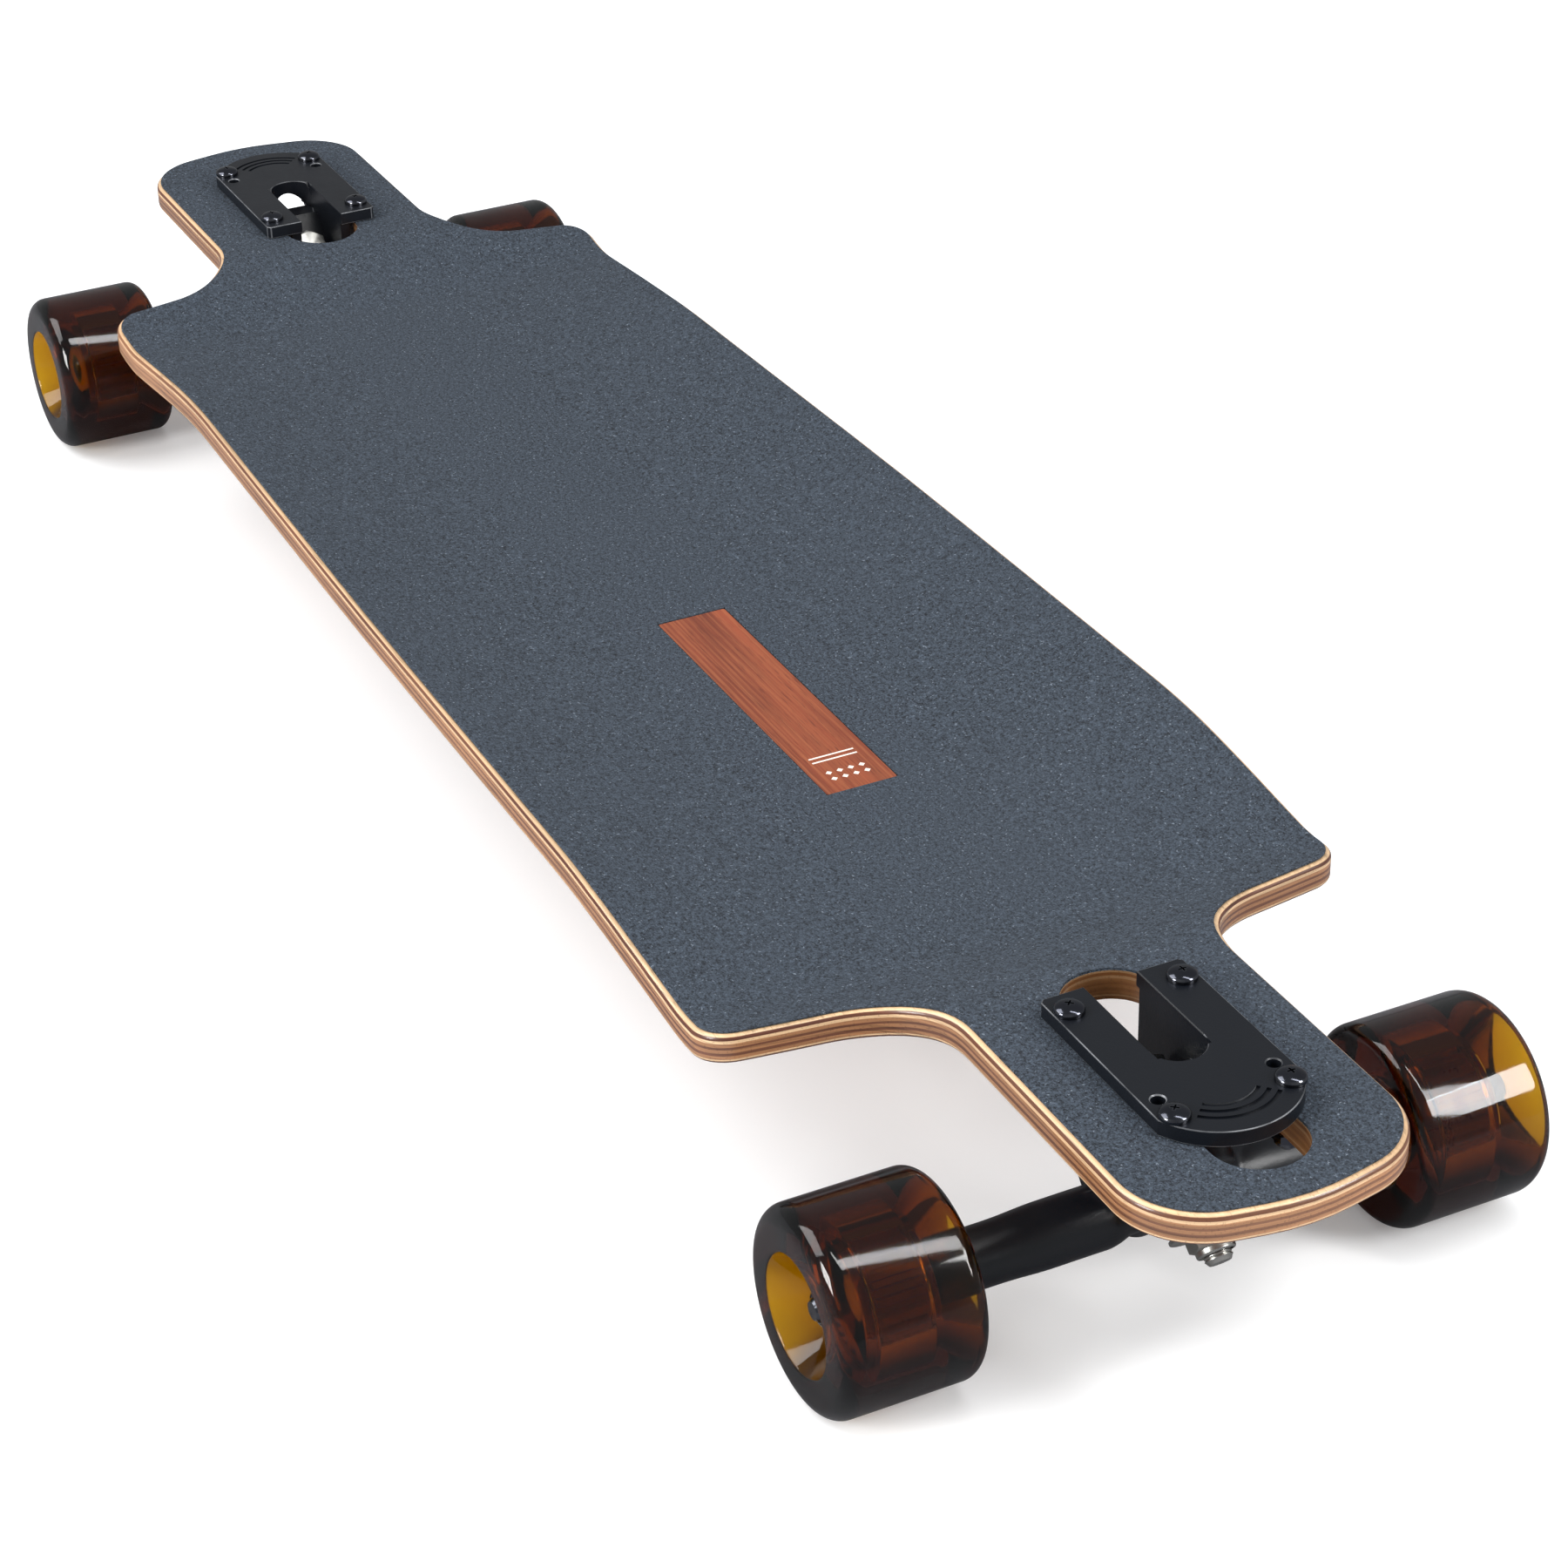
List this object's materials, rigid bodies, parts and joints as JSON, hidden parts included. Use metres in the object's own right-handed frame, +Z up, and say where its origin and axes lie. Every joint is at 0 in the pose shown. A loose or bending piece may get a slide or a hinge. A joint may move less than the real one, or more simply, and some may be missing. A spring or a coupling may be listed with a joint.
{
  "type": "drop-through longboard skateboard",
  "caption": "Drop-through longboard: concave laminated deck with grip sheet, reverse-kingpin steering trucks and soft translucent wheels on ball bearings.",
  "frame": {"origin": "on the ground under the middle of the board", "axes": "+X along the board to the nose, +Y to the rider's left when facing the nose, +Z up"},
  "size_m": [0.959, 0.2592, 0.1028],
  "materials": {
    "deck_wood": "clear-lacquered maple plies with dark stained outer ply",
    "grip": "fine grit, blue-black, matt",
    "inlay": "red-brown veneer, satin",
    "truck_black": "satin black powder coat",
    "fastener_black": "polished black oxide",
    "steel": "bright zinc",
    "bushing": "honey-coloured translucent urethane",
    "cup_rubber": "black moulded urethane",
    "wheel_urethane": "glossy translucent amber-brown urethane",
    "wheel_core": "yellow moulded nylon"
  },
  "bodies": {
    "board": {"deck": "deck_wood", "grip_sheet": "grip", "veneer_inlay": "inlay", "front_baseplate": "truck_black", "front_pivot_cup": "cup_rubber", "front_kingpin": "steel", "front_kingpin_nut": "steel", "front_washer_boardside": "steel", "front_washer_roadside": "steel", "front_bushing_boardside": "bushing", "front_bushing_roadside": "bushing", "front_deck_bolt_1": "fastener_black", "front_deck_bolt_2": "fastener_black", "front_deck_bolt_3": "fastener_black", "front_deck_bolt_4": "fastener_black", "front_lock_nut_1": "fastener_black", "front_lock_nut_2": "fastener_black", "front_lock_nut_3": "fastener_black", "front_lock_nut_4": "fastener_black", "rear_baseplate": "truck_black", "rear_pivot_cup": "cup_rubber", "rear_kingpin": "steel", "rear_kingpin_nut": "steel", "rear_washer_boardside": "steel", "rear_washer_roadside": "steel", "rear_bushing_boardside": "bushing", "rear_bushing_roadside": "bushing", "rear_deck_bolt_1": "fastener_black", "rear_deck_bolt_2": "fastener_black", "rear_deck_bolt_3": "fastener_black", "rear_deck_bolt_4": "fastener_black", "rear_lock_nut_1": "fastener_black", "rear_lock_nut_2": "fastener_black", "rear_lock_nut_3": "fastener_black", "rear_lock_nut_4": "fastener_black"},
    "front_hanger_body": {"front_hanger": "truck_black", "front_axle": "steel", "front_left_axle_nut": "fastener_black", "front_right_axle_nut": "fastener_black"},
    "front_left_wheel": {"front_left_tyre": "wheel_urethane", "front_left_core": "wheel_core", "front_left_inner_bearing": "steel", "front_left_outer_bearing": "steel"},
    "front_right_wheel": {"front_right_tyre": "wheel_urethane", "front_right_core": "wheel_core", "front_right_inner_bearing": "steel", "front_right_outer_bearing": "steel"},
    "rear_hanger_body": {"rear_hanger": "truck_black", "rear_axle": "steel", "rear_left_axle_nut": "fastener_black", "rear_right_axle_nut": "fastener_black"},
    "rear_left_wheel": {"rear_left_tyre": "wheel_urethane", "rear_left_core": "wheel_core", "rear_left_inner_bearing": "steel", "rear_left_outer_bearing": "steel"},
    "rear_right_wheel": {"rear_right_tyre": "wheel_urethane", "rear_right_core": "wheel_core", "rear_right_inner_bearing": "steel", "rear_right_outer_bearing": "steel"}
  },
  "joints": [
    {"name": "front_steer", "type": "hinge", "parent": "board", "child": "front_hanger_body", "pos_m": [0.38285, 0, 0.02697], "axis": [0.6428, 0, 0.766], "range_deg": [-20, 20], "stiffness_Nm_per_rad": 40, "deforming": ["front_bushing_boardside", "front_bushing_roadside"]},
    {"name": "front_left_spin", "type": "hinge", "parent": "front_hanger_body", "child": "front_left_wheel", "pos_m": [0.3935, 0.104, 0.035], "axis": [0, 1, 0], "continuous": true},
    {"name": "front_right_spin", "type": "hinge", "parent": "front_hanger_body", "child": "front_right_wheel", "pos_m": [0.3935, -0.104, 0.035], "axis": [0, 1, 0], "continuous": true},
    {"name": "rear_steer", "type": "hinge", "parent": "board", "child": "rear_hanger_body", "pos_m": [-0.38285, 0, 0.02697], "axis": [-0.6428, 0, 0.766], "range_deg": [-20, 20], "stiffness_Nm_per_rad": 40, "deforming": ["rear_bushing_boardside", "rear_bushing_roadside"]},
    {"name": "rear_left_spin", "type": "hinge", "parent": "rear_hanger_body", "child": "rear_left_wheel", "pos_m": [-0.3935, 0.104, 0.035], "axis": [0, 1, 0], "continuous": true},
    {"name": "rear_right_spin", "type": "hinge", "parent": "rear_hanger_body", "child": "rear_right_wheel", "pos_m": [-0.3935, -0.104, 0.035], "axis": [0, 1, 0], "continuous": true}
  ]
}
